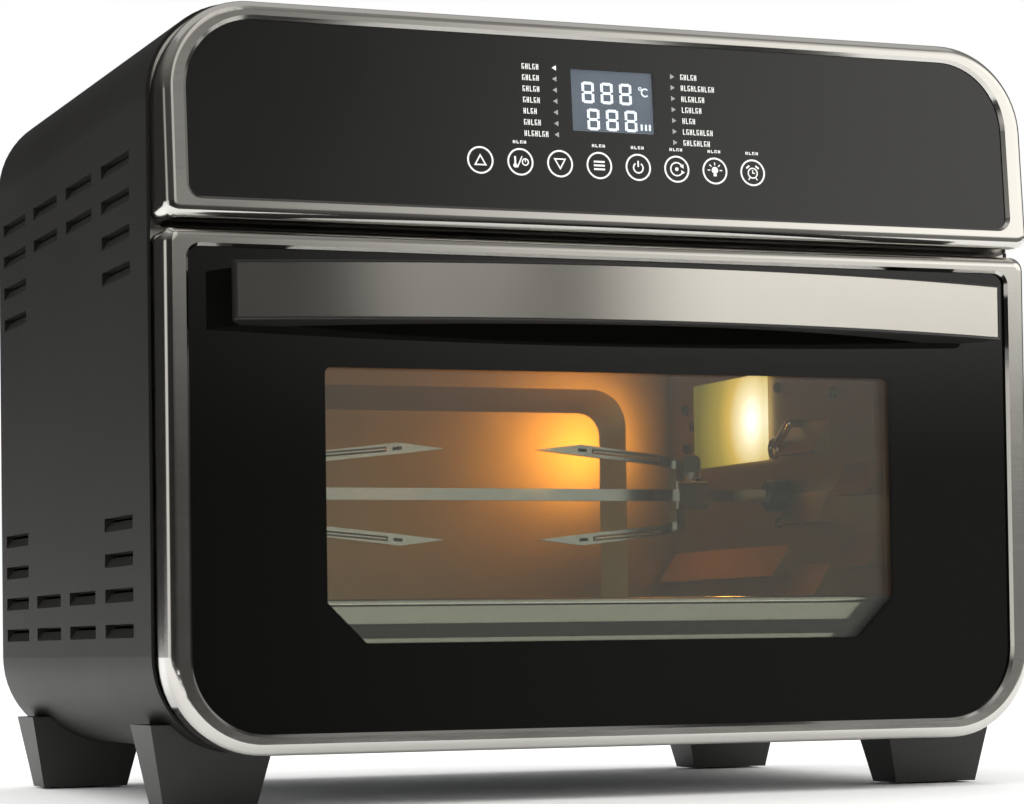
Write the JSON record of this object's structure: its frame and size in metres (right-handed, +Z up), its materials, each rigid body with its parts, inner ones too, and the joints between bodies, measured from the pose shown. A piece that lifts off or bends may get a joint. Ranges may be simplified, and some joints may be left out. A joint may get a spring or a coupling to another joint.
{
  "type": "air fryer oven",
  "caption": "Countertop air fryer oven with a drop-down glass door, bowed handle, tilted touch panel, lit cavity and rotisserie spit with sliding forks.",
  "frame": {"origin": "on the floor under the middle of the object", "axes": "+Z up, +X to the viewer's right, the door faces -Y"},
  "size_m": [0.396, 0.358, 0.3275],
  "materials": {
    "case_enamel": "black powder coat",
    "polished_steel": "polished stainless",
    "brushed_steel": "brushed stainless",
    "cavity_steel": "aluminised sheet",
    "zinc_steel": "zinc plated",
    "chrome_wire": "chrome plated",
    "black_plastic": "moulded, satin",
    "circuit_board": "solder mask",
    "black_glass": "black printed tempered glass",
    "clear_glass": "clear tempered glass",
    "frosted_glass": "frosted, lit",
    "display_lens": "lit display",
    "heater_sheath": "oxidised heater sheath",
    "silicone": "silicone",
    "foot_rubber": "rubber",
    "screw_steel": "blackened screw",
    "fan_aluminium": "pressed sheet",
    "motor_steel": "drawn steel can",
    "sintered_brass": "sintered bush"
  },
  "bodies": {
    "oven": {"outer_case": "case_enamel", "base_pan": "zinc_steel", "rear_cover": "case_enamel", "front_frame": "polished_steel", "control_bezel": "polished_steel", "control_glass": "black_glass", "control_housing": "black_plastic", "display_module": "display_lens", "control_board": "circuit_board", "power_board": "circuit_board", "board_spacers": "black_plastic", "cord_gland": "black_plastic", "foot_front_left": "black_plastic", "foot_front_right": "black_plastic", "foot_rear_left": "black_plastic", "foot_rear_right": "black_plastic", "foot_pads": "foot_rubber", "foot_screws": "screw_steel", "case_screws": "screw_steel", "rear_screws": "screw_steel", "cavity_back": "cavity_steel", "cavity_left_wall": "cavity_steel", "cavity_right_wall": "cavity_steel", "cavity_ceiling": "cavity_steel", "cavity_floor": "cavity_steel", "fan_guard": "cavity_steel", "upper_element": "heater_sheath", "lower_elements": "heater_sheath", "lamp_glass": "frosted_glass", "lamp_housing": "zinc_steel", "lamp_bulb": "clear_glass", "wall_screws": "screw_steel", "temperature_probe": "chrome_wire", "hinge_bracket_left": "zinc_steel", "hinge_bracket_right": "zinc_steel", "rotisserie_motor": "motor_steel", "spit_bearing": "sintered_brass", "fan_motor": "motor_steel"},
    "door": {"door_frame": "polished_steel", "door_glass": "black_glass", "door_inner_frame": "cavity_steel", "door_inner_glass": "clear_glass", "door_seal": "silicone", "handle_body": "black_plastic", "handle_face": "brushed_steel", "handle_screws": "screw_steel", "hinge_pins": "zinc_steel"},
    "left_arm": {"hinge_arm_left": "zinc_steel"},
    "right_arm": {"hinge_arm_right": "zinc_steel"},
    "spit": {"spit_shaft": "chrome_wire", "drive_socket": "zinc_steel"},
    "left_fork": {"left_fork": "chrome_wire"},
    "right_fork": {"right_fork": "chrome_wire"},
    "left_screw": {"left_fork_screw": "zinc_steel"},
    "right_screw": {"right_fork_screw": "zinc_steel"},
    "fan": {"fan_shaft": "zinc_steel", "hot_air_fan": "fan_aluminium", "cooling_fan": "fan_aluminium"},
    "tray": {"crumb_tray": "cavity_steel"}
  },
  "joints": [
    {"name": "door_hinge", "type": "hinge", "parent": "oven", "child": "door", "pos_m": [0, -0.1225, 0.0275], "axis": [1, 0, 0], "range_deg": [0, 78], "stiffness_Nm_per_rad": 0.5, "springref_deg": -28.65},
    {"name": "left_arm_swing", "type": "hinge", "parent": "door", "child": "left_arm", "pos_m": [-0.164, -0.1162, 0.078], "axis": [1, 0, 0], "range_deg": [-24.65, 0]},
    {"name": "right_arm_swing", "type": "hinge", "parent": "door", "child": "right_arm", "pos_m": [0.164, -0.1162, 0.078], "axis": [1, 0, 0], "range_deg": [-24.65, 0]},
    {"name": "spit_spin", "type": "hinge", "parent": "oven", "child": "spit", "pos_m": [0, 0.018, 0.1344], "axis": [1, 0, 0], "continuous": true},
    {"name": "left_fork_slide", "type": "slide", "parent": "spit", "child": "left_fork", "axis": [1, 0, 0], "range_m": [-0.03, 0.02]},
    {"name": "right_fork_slide", "type": "slide", "parent": "spit", "child": "right_fork", "axis": [1, 0, 0], "range_m": [-0.02, 0.03]},
    {"name": "left_screw_turn", "type": "hinge", "parent": "left_fork", "child": "left_screw", "pos_m": [-0.104, 0.018, 0.1344], "axis": [0, 0, 1], "range_deg": [0, 360]},
    {"name": "right_screw_turn", "type": "hinge", "parent": "right_fork", "child": "right_screw", "pos_m": [0.1005, 0.018, 0.1344], "axis": [0, 0, 1], "range_deg": [0, 360]},
    {"name": "fan_spin", "type": "hinge", "parent": "oven", "child": "fan", "pos_m": [0, 0.018, 0.27], "axis": [0, 0, 1], "continuous": true},
    {"name": "tray_slide", "type": "slide", "parent": "oven", "child": "tray", "axis": [0, -1, 0], "range_m": [0, 0.0075]}
  ],
  "couplings": [
    {"joint": "left_arm_swing", "follows": "door_hinge", "ratio": -0.316},
    {"joint": "right_arm_swing", "follows": "door_hinge", "ratio": -0.316}
  ]
}
